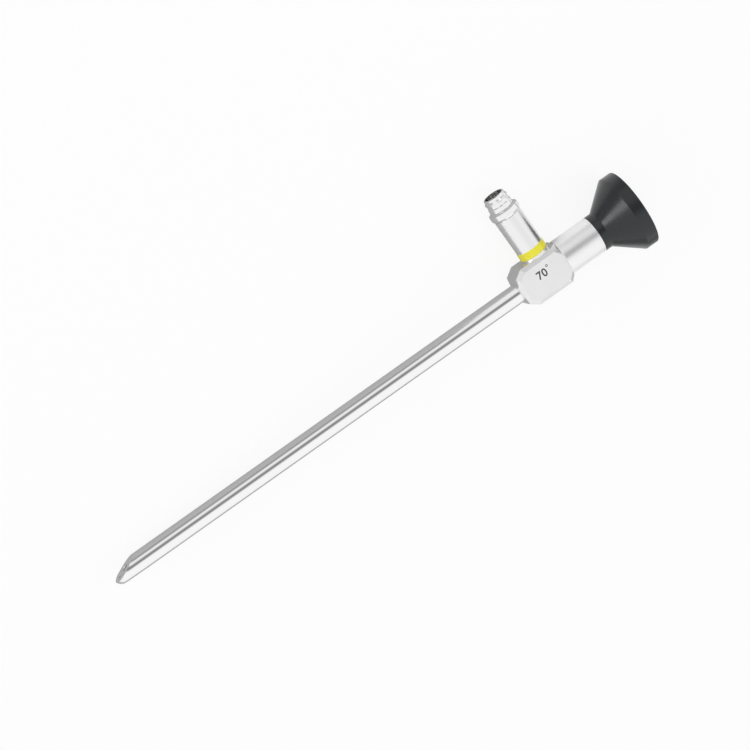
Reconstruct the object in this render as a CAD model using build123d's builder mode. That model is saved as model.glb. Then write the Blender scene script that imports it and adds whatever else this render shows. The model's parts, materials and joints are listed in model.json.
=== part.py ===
"""Rigid endoscope: a straight rod-lens telescope with a 70 degree view, lying at rest.

Millimetres, +Z up. The origin is on the axis of the shaft where it leaves the hub block,
which is the plane that a working sheath seats against. The shaft points to -X.
The instrument lies on its eyecup, its light post and its tip, with the printed face of
the block upwards. Each place on it is given by a station along the shaft (tip negative,
eyepiece positive), a height towards the light post and a depth out of the printed face.
"""
from build123d import *
import math
import os

os.makedirs("parts", exist_ok=True)

# Fits
slip = 0.03             # radial gap of a cemented, soldered or sliding fit
seat_gap = 0.05         # axial gap between a piece and the shoulder behind it
thread_gap = 0.05       # radial gap of a screwed joint whose thread isn't cut

# Shaft and nose
shaft_radius = 3.9
shaft_bore = 3.65
nose_station = -188.4   # centre of the round nose
nose_radius = 3.8       # the nose piece tapers to this from the tube
heel_station = -180.6   # where the bevel starts on the side of the light post
bevel_angle = 27.0      # between the bevel and the shaft
nose_joint = -179.5     # seam between the nose piece and the tube
nose_spigot = 3.5       # length of the nose piece inside the tube
shaft_entry = 6.5       # how far the tube runs into the block
root_radius = 4.4       # of the tube's thick end, flush with the block's face

# Optics in the shaft
eyepiece_offset = 1.5   # the optics and the eyepiece sit this far towards the light post
optic_radius = 2.05
optic_bore = 1.9
optic_start = -180.4
optic_end = 22.0
objective_length = 2.0
objective_gap = 0.6
rod_count = 7
relay_end = 14.85       # station where the last rod ends
spacer_length = 2.4
spacer_bore = 1.5
lens_crown = 0.15       # how far the middle of a lens face stands out

# Window, prism and light exit in the nose
window_station = -185.9
window_radius = 1.3
window_thickness = 0.6
sight_radius = 0.95
prism_start = -187.6
prism_step = -183.6     # where the prism rises to meet the objective
prism_end = -180.5
prism_top = -0.2
prism_rise = 1.6
prism_height = 2.0
prism_width = 2.6
light_exit_station = -189.6
light_exit_radius = 0.7
light_slot_top = -2.5
light_slot_height = 0.7
light_slot_width = 2.1

# Hub block
block_length = 21.5
block_top = 8.6
block_bottom = -7.4
block_depth = 14.2
face_chamfer = 1.6
post_corner_run = 4.4
post_corner_drop = 3.0
heel_corner_run = 4.2
heel_corner_rise = 3.0
low_corner = 2.0
facet_run = 3.6         # corner facet beside the post: how far it reaches along the printed face,
facet_drop = 4.6        # down that face from the top
facet_depth = 4.3       # and along the top towards the back
turned_radius = 4.8     # flat of the block's end round the shaft
turned_angle = 78.0     # between the turned rest of that end and the shaft
block_edge = 0.15       # softening of every outer edge
chamber_radius = 4.9
chamber_height = 0.6    # of the chamber's axis over the shaft's
chamber_end = 18.1

# Eyepiece sleeve
sleeve_radius = 7.55
sleeve_end = 37.8
sleeve_lip = 0.9
sleeve_line = 0.25
sleeve_line_depth = 0.15
sleeve_edge = 0.2
sleeve_thread = 5.55
sleeve_bore = 5.2
sleeve_web = 1.8
spigot_radius = 6.2
spigot_end = 49.0

# Eyepiece optics
ocular_start = 24.0
ocular_end = 46.4
ocular_bore = 4.3
stop_station = 26.0
stop_thickness = 0.6
stop_hole = 1.4
front_lens_station = 35.5
front_lens_length = 3.2
rear_lens_station = 39.6
rear_lens_length = 3.8
ocular_crown = 0.6
ocular_ring_length = 1.8
ocular_ring_bore = 3.4
pupil_window_thickness = 1.5
window_ring_bore = 4.0

# Eyecup
neck_radius = 7.6
neck_end = 40.8
rim_start = 51.4
rim_end = 56.6
cup_radius = 16.0
near_edge = 0.4
far_edge = 0.5
small_edge = 0.2
neck_bend = 0.8
rim_wall = 2.0
dish_floor = 6.6
dish_station = 49.9
dish_bend = 0.8
cup_lip_bore = 4.6
cup_lip = 0.8

# Light post, with heights along its own axis
post_station = 14.2
post_lean = 3.2         # degrees from square to the shaft, towards the tip
post_spigot = 4.0
post_spigot_start = 5.9
post_bore = 3.4
flange_radius = 5.85
flange_start = 7.85
ring_start = 9.5
ring_height = 3.2
ring_edge = 0.2
stem_radius = 4.6
stem_end = 21.8
barrel_radius = 5.65
barrel_end = 27.8
barrel_edge = 0.1
joint_gap = 0.04
collar_radius = 6.2
collar_start = 28.8
collar_end = 30.8
connector_radius = 4.95
connector_base = 31.6
connector_end = 37.3
mouth_radius = 4.4
mouth_run = 0.8         # length of the slope from the spigot's wall to its mouth
mouth_start = 36.3
recess_radius = 3.8
ferrule_bore = 3.6
connector_edge = 0.15
connector_spigot_start = 22.4
groove_start = 33.2
groove_end = 35.2
groove_depth = 0.3
groove_slope = 0.35
fibre_face = 32.3
ferrule_start = 24.0

# Light fibres
fibre_radius = 2.4
fibre_foot_radius = 3.3
fibre_foot_start = 4.1
fibre_foot_end = 5.6
fibre_neck_start = 7.0
crescent_top = 1.2
crescent_end = 9.0
arm_inner = 2.25        # depth at which the two arms pass beside the optics
arm_outer = 3.15
arm_bottom = -3.0
arm_top = 4.2
arm_width = 3.4

# Seals
sleeve_seal_radius = 6.3
sleeve_seal_section = 0.28
cup_seal_station = 43.0
cup_seal_section = 0.24
post_seal_bore = 3.5

# The direction that is up when the instrument lies still, in its own axes. The post touches the
# table with the lowest of the circles in post_circles, each a height along the post and a radius.
post_circles = ((collar_end, collar_radius), (mouth_start - mouth_run, connector_radius),
                (connector_end - connector_edge, mouth_radius))
lean = math.radians(post_lean)
lean_along = 0.0
lean_across = 0.0
for _ in range(60):
    up = Vector(lean_along, lean_across, 1).normalized()
    post_up = up.Y * math.cos(lean) - up.X * math.sin(lean)
    nose_low = up.X * nose_station - nose_radius
    cup_low = (up.X * (rim_start + near_edge) + up.Y * eyepiece_offset - near_edge
               - (cup_radius - near_edge) * math.sqrt(1 - up.X**2))
    post_low = up.X * post_station + min(post_up * height - radius * math.sqrt(1 - post_up**2)
                                         for height, radius in post_circles)
    lean_along += (nose_low - cup_low) / (rim_start - nose_station)
    lean_across += (cup_low - post_low) / connector_end

level = math.sqrt(1 - up.X**2)
along = Vector(level, 0, up.X)
across = Vector(-up.X * up.Y / level, up.Z / level, up.Y)
outward = along.cross(across)


def spot(station, height=0.0, depth=0.0):
    """Return the point at a station, a height towards the post and a depth out of the face."""
    return along * station + across * height + outward * depth


def square_to_shaft(station, height=0.0):
    """Return the plane across the shaft: X towards the post, Y out of the printed face."""
    return Plane(origin=spot(station, height), x_dir=across, z_dir=along)


def through_shaft(height=0.0, depth=0.0):
    """Return a plane of side outlines: X along the shaft, Y towards the post."""
    return Plane(origin=spot(0, height, depth), x_dir=along, z_dir=outward)


def shaft_axis(height=0.0):
    """Return the axis of what is turned about the shaft or about the eyepiece."""
    return Axis(origin=spot(0, height), direction=along)


post_way = across * math.cos(lean) - along * math.sin(lean)
post_foot = spot(post_station)
post_axis = Axis(origin=post_foot, direction=post_way)
through_post = Plane(origin=post_foot, x_dir=post_way, z_dir=outward)
depth_axis = Axis(origin=spot(0), direction=outward)


def square_to_post(height):
    """Return the plane across the light post at a height along it."""
    return Plane(origin=post_foot + post_way * height, x_dir=outward, z_dir=post_way)


def save(piece, name):
    """Label a finished piece and write its file."""
    piece.label = name
    export_step(piece, f"parts/{name}.step")


def turned_tube(plane, axis, start, end, outer, bore):
    """Return a plain turned tube, or a rod where the bore is 0."""
    with BuildPart() as tube:
        with BuildSketch(plane):
            with BuildLine():
                Polyline((start, bore), (start, outer), (end, outer), (end, bore), close=True)
            make_face()
        revolve(axis=axis)
    return tube.part


def turned_lens(start, length, radius, crown):
    """Return a lens on the axis of the optics, with both faces crowned outwards."""
    end = start + length
    with BuildPart() as lens:
        with BuildSketch(through_shaft(eyepiece_offset)):
            with BuildLine():
                Line((start, 0), (end, 0))
                TangentArc((end, 0), (end - crown, radius), tangent=(0, 1))
                Line((end - crown, radius), (start + crown, radius))
                TangentArc((start, 0), (start + crown, radius), tangent=(0, 1))
            make_face()
        revolve(axis=shaft_axis(eyepiece_offset))
    return lens.part


# The bevel, whose plane has X along the slope towards the heel and Z out of the metal
slope = math.radians(bevel_angle)
bevel_way = along * math.cos(slope) + across * math.sin(slope)
bevel_out = across * math.cos(slope) - along * math.sin(slope)


def bevel_height(station):
    """Return the height of the bevel over the axis of the shaft at a station."""
    return shaft_radius + (station - heel_station) * math.tan(slope)


def on_bevel(station):
    """Return the plane of the bevel, centred over a station of the shaft."""
    return Plane(origin=spot(station, bevel_height(station)), x_dir=bevel_way, z_dir=bevel_out)


nose_piece_end = nose_joint + nose_spigot
prism_bottom = prism_top - prism_height
prism_shoulder = prism_top + prism_rise
slot_middle = light_slot_top - light_slot_height / 2
sight_drop = (bevel_height(window_station) - prism_top) / math.cos(slope) + prism_height / 4
light_drop = (bevel_height(light_exit_station) - slot_middle) / math.cos(slope)

# Nose piece: a solid round nose with the bevel, the window seat and the ways for light
with BuildPart() as tip_housing:
    with BuildSketch(through_shaft()):
        with BuildLine():
            CenterArc((nose_station, 0), nose_radius, 90, 90)
            Polyline((nose_station - nose_radius, 0), (nose_piece_end, 0),
                     (nose_piece_end, shaft_bore - slip), (nose_joint, shaft_bore - slip),
                     (nose_joint, shaft_radius), (nose_station, nose_radius))
        make_face()
    revolve(axis=shaft_axis())
    with BuildSketch(on_bevel(heel_station)):
        Rectangle(8 * shaft_radius, 4 * shaft_radius)
    extrude(amount=2 * shaft_radius, mode=Mode.SUBTRACT)
    with BuildSketch(on_bevel(window_station)):
        Circle(window_radius + slip)
    extrude(amount=-window_thickness - seat_gap, mode=Mode.SUBTRACT)
    with BuildSketch(on_bevel(window_station)):
        Circle(sight_radius)
    extrude(amount=-sight_drop, mode=Mode.SUBTRACT)
    with BuildSketch(square_to_shaft(prism_start - seat_gap, (prism_top + prism_bottom) / 2)):
        Rectangle(prism_height + 2 * slip, prism_width + 2 * slip)
    extrude(amount=nose_joint - prism_start, mode=Mode.SUBTRACT)
    with BuildSketch(square_to_shaft(prism_step - seat_gap, (prism_shoulder + prism_bottom) / 2)):
        Rectangle(prism_height + prism_rise + 2 * slip, prism_width + 2 * slip)
    extrude(amount=nose_joint - prism_step, mode=Mode.SUBTRACT)
    with BuildSketch(square_to_shaft(optic_start - seat_gap, eyepiece_offset)):
        Circle(optic_radius + slip)
    extrude(amount=nose_piece_end - optic_start + 1, mode=Mode.SUBTRACT)
    with BuildSketch(square_to_shaft(light_exit_station, slot_middle)):
        Rectangle(light_slot_height + 2 * slip, light_slot_width + 2 * slip)
    extrude(amount=nose_piece_end - light_exit_station + 1, mode=Mode.SUBTRACT)
    with BuildSketch(on_bevel(light_exit_station)):
        Circle(light_exit_radius + slip)
    extrude(amount=-light_drop, mode=Mode.SUBTRACT)
save(tip_housing.part, "tip_housing")

# Outer tube, drawn to a thin wall, from the nose piece to its thick end in the block
with BuildPart() as outer_tube:
    with BuildSketch(through_shaft()):
        with BuildLine():
            Polyline((nose_joint, shaft_bore), (nose_joint, shaft_radius), (0, shaft_radius),
                     (0, root_radius), (shaft_entry, root_radius), (shaft_entry, shaft_bore), close=True)
        make_face()
    revolve(axis=shaft_axis())
save(outer_tube.part, "outer_tube")

# Window cemented flush into the bevel
with BuildPart() as distal_window:
    with BuildSketch(on_bevel(window_station)):
        Circle(window_radius)
    extrude(amount=-window_thickness)
save(distal_window.part, "distal_window")

# Prism that folds the view onto the axis of the optics
with BuildPart() as deflecting_prism:
    with BuildSketch(through_shaft()):
        with BuildLine():
            Polyline((prism_start, prism_top), (prism_step, prism_top), (prism_step, prism_shoulder),
                     (prism_end, prism_shoulder), (prism_end, prism_bottom),
                     (prism_start + prism_height, prism_bottom), close=True)
        make_face()
    extrude(amount=prism_width / 2, both=True)
save(deflecting_prism.part, "deflecting_prism")

# Inner tube with the objective and the relay of rods and spacers
optic_tube = turned_tube(through_shaft(eyepiece_offset), shaft_axis(eyepiece_offset),
                         optic_start, optic_end, optic_radius, optic_bore)
save(optic_tube, "optic_tube")

lens_radius = optic_bore - slip
objective_front_start = optic_start + objective_gap
objective_rear_start = objective_front_start + objective_length + seat_gap
save(turned_lens(objective_front_start, objective_length, lens_radius, lens_crown), "objective_front_lens")
save(turned_lens(objective_rear_start, objective_length, lens_radius, lens_crown), "objective_rear_lens")

relay_start = objective_rear_start + objective_length + objective_gap
spacer_room = spacer_length + 2 * seat_gap
rod_length = (relay_end - relay_start - (rod_count - 1) * spacer_room) / rod_count
relay_pitch = rod_length + spacer_room
for place in range(rod_count):
    rod_start = relay_start + place * relay_pitch
    save(turned_lens(rod_start, rod_length, lens_radius, lens_crown), f"rod_lens_{place + 1}")
    if place < rod_count - 1:
        spacer_start = rod_start + rod_length + seat_gap
        spacer = turned_tube(through_shaft(eyepiece_offset), shaft_axis(eyepiece_offset),
                             spacer_start, spacer_start + spacer_length, lens_radius, spacer_bore)
        save(spacer, f"rod_spacer_{place + 1}")

# Light fibres: a crescent beside the optics, two arms past them and a round bundle in the post
arm_back = post_station + fibre_foot_radius - slip
with BuildPart() as light_fibres:
    with BuildSketch(square_to_shaft(nose_piece_end + seat_gap)):
        Circle(shaft_bore - slip)
        with Locations((eyepiece_offset, 0)):
            Circle(optic_radius + slip, mode=Mode.SUBTRACT)
        with Locations((crescent_top, 0)):
            Rectangle(2 * shaft_bore, 2 * shaft_bore, align=(Align.MIN, Align.CENTER), mode=Mode.SUBTRACT)
    extrude(amount=crescent_end - nose_piece_end - seat_gap)
    with BuildSketch(square_to_shaft(light_exit_station, slot_middle)):
        Rectangle(light_slot_height, light_slot_width)
    extrude(amount=nose_piece_end + 1 - light_exit_station)
    with BuildSketch(on_bevel(light_exit_station)):
        Circle(light_exit_radius)
    extrude(amount=-light_drop)
    for side in (arm_inner, -arm_outer):
        with BuildSketch(through_shaft(0, side)):
            with BuildLine():
                Polyline((shaft_entry + seat_gap, arm_bottom), (post_station, arm_bottom),
                         (arm_back - seat_gap, arm_bottom + arm_width), (arm_back - seat_gap, arm_top),
                         (arm_back - 2 * arm_width, arm_top), (arm_back - 2 * arm_width, crescent_top),
                         (shaft_entry + seat_gap, crescent_top), close=True)
            make_face()
        extrude(amount=arm_outer - arm_inner)
    with BuildSketch(through_post):
        with BuildLine():
            Polyline((fibre_foot_start, 0), (fibre_foot_start, fibre_foot_radius),
                     (fibre_foot_end, fibre_foot_radius), (fibre_neck_start, fibre_radius),
                     (fibre_face, fibre_radius), (fibre_face, 0), close=True)
        make_face()
    revolve(axis=post_axis)
save(light_fibres.part, "light_fibres")

# Hub block, milled with cut corners, turned round the shaft and softened along its edges
turned_reach = block_top + block_depth
turned_run = (turned_reach - turned_radius) / math.tan(math.radians(turned_angle))
facet_corner = spot(block_length, block_top, block_depth / 2)
facet_out = (along / facet_run + across / facet_drop + outward / facet_depth).normalized()
corner_facet = Plane(origin=facet_corner - along * facet_run, z_dir=facet_out)
with BuildPart() as hub_block:
    with BuildSketch(through_shaft()):
        with BuildLine():
            Polyline((0, block_bottom + heel_corner_rise), (heel_corner_run, block_bottom),
                     (block_length - low_corner, block_bottom), (block_length, block_bottom + low_corner),
                     (block_length, block_top), (post_corner_run, block_top),
                     (0, block_top - post_corner_drop), close=True)
        make_face()
    extrude(amount=block_depth / 2, both=True)
    chamfer(hub_block.faces().sort_by(depth_axis)[-1].edges().sort_by(shaft_axis())[:-1], length=face_chamfer)
    chamfer(hub_block.faces().sort_by(depth_axis)[0].edges().sort_by(shaft_axis())[:-1], length=face_chamfer)
    with BuildSketch(through_shaft()):
        with BuildLine():
            Polyline((0, 0), (0, turned_radius), (turned_run, turned_reach),
                     (block_length, turned_reach), (block_length, 0), close=True)
        make_face()
    revolve(axis=shaft_axis(), mode=Mode.INTERSECT)
    with BuildSketch(corner_facet):
        Rectangle(2 * block_length, 2 * block_length)
    extrude(amount=block_length, mode=Mode.SUBTRACT)
    fillet(hub_block.edges(), radius=block_edge)
    with BuildSketch(square_to_shaft(-1)):
        Circle(root_radius + slip)
    extrude(amount=shaft_entry + 1 + seat_gap, mode=Mode.SUBTRACT)
    with BuildSketch(square_to_shaft(shaft_entry, chamber_height)):
        Circle(chamber_radius)
    extrude(amount=chamber_end - shaft_entry, mode=Mode.SUBTRACT)
    with BuildSketch(square_to_shaft(chamber_end, eyepiece_offset)):
        Circle(sleeve_thread + thread_gap)
    extrude(amount=block_length - chamber_end + 1, mode=Mode.SUBTRACT)
    with BuildSketch(square_to_post(fibre_foot_start - 1)):
        Circle(post_spigot + thread_gap)
    extrude(amount=block_top, mode=Mode.SUBTRACT)
    with BuildSketch(square_to_post(flange_start)):
        Circle(flange_radius + slip)
    extrude(amount=block_top, mode=Mode.SUBTRACT)
save(hub_block.part, "hub_block")

# Eyepiece sleeve, screwed into the block, with a turned line before its end
line_start = sleeve_end - sleeve_lip - sleeve_line
line_end = sleeve_end - sleeve_lip
line_radius = sleeve_radius - sleeve_line_depth
bore_start = chamber_end + sleeve_web
seal_groove = 2 * sleeve_seal_section + seat_gap / 2
with BuildPart() as eyepiece_sleeve:
    with BuildSketch(through_shaft(eyepiece_offset)):
        with BuildLine():
            Polyline((chamber_end + seat_gap, optic_radius + slip), (chamber_end + seat_gap, sleeve_thread),
                     (block_length, sleeve_thread), (block_length, sleeve_seal_radius - seal_groove / 2),
                     (block_length + seal_groove, sleeve_seal_radius - seal_groove / 2),
                     (block_length + seal_groove, sleeve_seal_radius + seal_groove / 2),
                     (block_length, sleeve_seal_radius + seal_groove / 2),
                     (block_length, sleeve_radius - sleeve_edge), (block_length + sleeve_edge, sleeve_radius),
                     (line_start, sleeve_radius), (line_start, line_radius), (line_end, line_radius),
                     (line_end, sleeve_radius), (sleeve_end - sleeve_edge, sleeve_radius),
                     (sleeve_end, sleeve_radius - sleeve_edge), (sleeve_end, spigot_radius),
                     (cup_seal_station - cup_seal_section, spigot_radius),
                     (cup_seal_station - cup_seal_section, spigot_radius - 2 * cup_seal_section),
                     (cup_seal_station + cup_seal_section, spigot_radius - 2 * cup_seal_section),
                     (cup_seal_station + cup_seal_section, spigot_radius), (spigot_end, spigot_radius),
                     (spigot_end, sleeve_bore), (bore_start, sleeve_bore),
                     (bore_start, optic_radius + slip), close=True)
        make_face()
    revolve(axis=shaft_axis(eyepiece_offset))
save(eyepiece_sleeve.part, "eyepiece_sleeve")


def seal_ring(station, radius, section):
    """Return a round-section seal about the axis of the eyepiece."""
    with BuildPart() as ring:
        with BuildSketch(through_shaft(eyepiece_offset)):
            with Locations((station, radius)):
                Circle(section)
        revolve(axis=shaft_axis(eyepiece_offset))
    return ring.part


sleeve_seal = seal_ring(block_length + seal_groove / 2, sleeve_seal_radius, sleeve_seal_section)
save(sleeve_seal, "sleeve_seal")
cup_seal = seal_ring(cup_seal_station, spigot_radius - cup_seal_section, cup_seal_section - slip / 2)
save(cup_seal, "cup_seal")


def eyepiece_tube(start, end, outer, bore):
    """Return a plain turned piece of the eyepiece between two stations."""
    return turned_tube(through_shaft(eyepiece_offset), shaft_axis(eyepiece_offset), start, end, outer, bore)


# Eyepiece optics: a barrel with the field stop, two lenses and their ring, then the window
ocular_tube = eyepiece_tube(ocular_start, ocular_end, sleeve_bore - slip, ocular_bore)
save(ocular_tube, "ocular_tube")
field_stop = eyepiece_tube(stop_station, stop_station + stop_thickness, ocular_bore - slip, stop_hole)
save(field_stop, "field_stop")
save(turned_lens(front_lens_station, front_lens_length, ocular_bore - slip, ocular_crown), "ocular_front_lens")
save(turned_lens(rear_lens_station, rear_lens_length, ocular_bore - slip, ocular_crown), "ocular_rear_lens")
ocular_ring_start = rear_lens_station + rear_lens_length + seat_gap
ocular_ring = eyepiece_tube(ocular_ring_start, ocular_ring_start + ocular_ring_length,
                            ocular_bore - slip, ocular_ring_bore)
save(ocular_ring, "ocular_ring")
pupil_window_start = ocular_end + seat_gap
pupil_window_end = pupil_window_start + pupil_window_thickness
pupil_window = eyepiece_tube(pupil_window_start, pupil_window_end, sleeve_bore - slip, 0)
save(pupil_window, "eyepiece_window")
window_ring = eyepiece_tube(pupil_window_end + seat_gap, spigot_end, sleeve_bore - slip, window_ring_bore)
save(window_ring, "window_ring")

# Eyecup, turned from black plastic, with a dish for the eye or for a camera coupler
cup_bore = spigot_radius + slip
dish_mouth = cup_radius - rim_wall
with BuildPart() as eyecup:
    with BuildSketch(through_shaft(eyepiece_offset)):
        with BuildLine():
            FilletPolyline((sleeve_end + seat_gap, cup_bore), (sleeve_end + seat_gap, neck_radius),
                           (neck_end, neck_radius), (rim_start, cup_radius), (rim_end, cup_radius),
                           (rim_end, dish_mouth), (dish_station, dish_floor), (dish_station, cup_lip_bore),
                           (dish_station - cup_lip, cup_lip_bore), (dish_station - cup_lip, cup_bore),
                           radius=[small_edge, neck_bend, near_edge, far_edge, small_edge,
                                   dish_bend, small_edge, small_edge])
            Line((dish_station - cup_lip, cup_bore), (sleeve_end + seat_gap, cup_bore))
        make_face()
    revolve(axis=shaft_axis(eyepiece_offset))
save(eyecup.part, "eyecup")

# Light post: a base with its stem, a colour ring on the flange, the barrel over the stem
ring_end = ring_start + ring_height
stem_fit = stem_radius + thread_gap
with BuildPart() as post_base:
    with BuildSketch(through_post):
        with BuildLine():
            Polyline((post_spigot_start, post_bore), (post_spigot_start, post_spigot),
                     (flange_start, post_spigot), (flange_start, flange_radius),
                     (ring_start, flange_radius), (ring_start, stem_radius),
                     (stem_end, stem_radius), (stem_end, post_bore), close=True)
        make_face()
    revolve(axis=post_axis)
save(post_base.part, "post_base")

with BuildPart() as colour_ring:
    with BuildSketch(through_post):
        with BuildLine():
            Polyline((ring_start, stem_fit), (ring_start, flange_radius - ring_edge),
                     (ring_start + ring_edge, flange_radius), (ring_end - ring_edge, flange_radius),
                     (ring_end, flange_radius - ring_edge), (ring_end, stem_fit), close=True)
        make_face()
    revolve(axis=post_axis)
save(colour_ring.part, "colour_ring")

with BuildPart() as post_barrel:
    with BuildSketch(through_post):
        with BuildLine():
            Polyline((ring_end, stem_fit), (ring_end, barrel_radius), (barrel_end - barrel_edge, barrel_radius),
                     (barrel_end, barrel_radius - barrel_edge), (barrel_end, stem_fit), close=True)
        make_face()
    revolve(axis=post_axis)
save(post_barrel.part, "post_barrel")

post_seal = turned_tube(through_post, post_axis, stem_end + seat_gap, connector_spigot_start - seat_gap,
                        stem_radius, post_seal_bore)
save(post_seal, "post_seal")

# Light connector: a collar and a grooved spigot for the light cable, bored for the ferrule
groove_radius = connector_radius - groove_depth
connector_start = barrel_end + joint_gap
with BuildPart() as light_connector:
    with BuildSketch(through_post):
        with BuildLine():
            Polyline((connector_spigot_start, ferrule_bore), (connector_spigot_start, stem_radius),
                     (connector_start, stem_radius), (connector_start, barrel_radius - barrel_edge),
                     (connector_start + barrel_edge, barrel_radius), (collar_start, collar_radius),
                     (collar_end, collar_radius), (connector_base, connector_radius),
                     (groove_start, connector_radius), (groove_start + groove_slope, groove_radius),
                     (groove_end - groove_slope, groove_radius), (groove_end, connector_radius),
                     (mouth_start - mouth_run, connector_radius), (mouth_start, mouth_radius),
                     (connector_end - connector_edge, mouth_radius),
                     (connector_end, mouth_radius - connector_edge), (connector_end, recess_radius),
                     (fibre_face, recess_radius), (fibre_face, ferrule_bore), close=True)
        make_face()
    revolve(axis=post_axis)
save(light_connector.part, "light_connector")

fibre_ferrule = turned_tube(through_post, post_axis, ferrule_start, fibre_face,
                            ferrule_bore - slip, fibre_radius + slip)
save(fibre_ferrule, "fibre_ferrule")
print("pitch", round(math.degrees(math.asin(up.X)), 2), "roll", round(math.degrees(math.asin(up.Y)), 2))
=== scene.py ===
"""Rigid endoscope at rest on a white studio table: finishes, engraving, fibre ends and studio.

Blender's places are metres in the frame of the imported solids. Sizes of the instrument are
millimetres along its own axes, which come from its mounts.
"""

import json
import logging
import math
from dataclasses import dataclass
from enum import Enum
from typing import Protocol

import bmesh
import bpy
from mathutils import Matrix, Vector


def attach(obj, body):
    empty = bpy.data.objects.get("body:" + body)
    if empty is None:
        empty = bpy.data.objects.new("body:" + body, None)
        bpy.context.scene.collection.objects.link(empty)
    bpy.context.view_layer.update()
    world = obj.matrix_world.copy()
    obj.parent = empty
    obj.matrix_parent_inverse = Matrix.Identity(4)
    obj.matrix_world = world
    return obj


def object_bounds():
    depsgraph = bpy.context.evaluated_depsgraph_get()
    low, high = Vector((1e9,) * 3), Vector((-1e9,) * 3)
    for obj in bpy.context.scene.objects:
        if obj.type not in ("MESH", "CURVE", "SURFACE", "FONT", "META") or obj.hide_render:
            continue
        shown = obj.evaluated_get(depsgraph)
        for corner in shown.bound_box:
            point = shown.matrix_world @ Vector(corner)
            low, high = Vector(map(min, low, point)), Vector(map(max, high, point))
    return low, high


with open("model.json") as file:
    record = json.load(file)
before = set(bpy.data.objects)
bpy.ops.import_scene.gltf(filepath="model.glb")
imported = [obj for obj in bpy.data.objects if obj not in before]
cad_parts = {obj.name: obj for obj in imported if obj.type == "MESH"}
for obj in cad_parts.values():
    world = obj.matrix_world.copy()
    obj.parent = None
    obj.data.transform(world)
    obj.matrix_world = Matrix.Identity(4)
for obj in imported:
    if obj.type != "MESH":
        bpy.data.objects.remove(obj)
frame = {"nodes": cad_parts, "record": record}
CAD_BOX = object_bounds()
LOG = logging.getLogger("endoscope")
MM = 0.001
BODY = "root"
WHITE = (1.0, 1.0, 1.0)
VALUE, VECTOR = "NodeSocketFloat", "NodeSocketVector"
LINE_DEPTH = 2e-6       # metres, of a lathe's or a belt's lines
DENT_DEPTH = 4e-6       # metres, of a blasted or cast surface
FIBRE_LIFT = 4e-6       # metres from a port's face to the foot of its fibre ends


# Axes of the instrument

@dataclass(frozen=True)
class InstrumentAxes:
    """The instrument's own directions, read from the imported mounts."""

    along: Vector
    across: Vector
    outward: Vector
    post_way: Vector

    @classmethod
    def from_record(cls, record: dict) -> "InstrumentAxes":
        """Read the directions from the record.

        Args:
            record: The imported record, with the mounts of the shaft and the light post.

        Returns:
            The axes: along the shaft, towards the post, out of the printed face, up the post.
        """
        mounts = {mount["name"]: mount for mount in record["mounts"]}
        along = -Vector(mounts["sheath"]["axis"]).normalized()
        post_way = Vector(mounts["light_recess"]["axis"]).normalized()
        across = (post_way - along * post_way.dot(along)).normalized()
        return cls(along, across, along.cross(across), post_way)

    def spot(self, station: float, height: float = 0.0, depth: float = 0.0) -> Vector:
        """Return a place on the instrument.

        Args:
            station: Millimetres along the shaft from the sheath seat.
            height: Millimetres towards the light post.
            depth: Millimetres out of the printed face.

        Returns:
            The place in metres.
        """
        return (self.along * station + self.across * height + self.outward * depth) * MM


def placing(origin: Vector, right: Vector, up: Vector) -> Matrix:
    """Return the matrix that lays a flat drawing on a face.

    Args:
        origin: Where the drawing's origin goes.
        right: The direction of the drawing's X.
        up: The direction of the drawing's Y.

    Returns:
        The placing matrix, whose Z leaves the face.
    """
    out = right.cross(up)
    turn = Matrix((right, up, out)).transposed().to_4x4()
    return Matrix.Translation(origin) @ turn


# Node helpers

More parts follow.
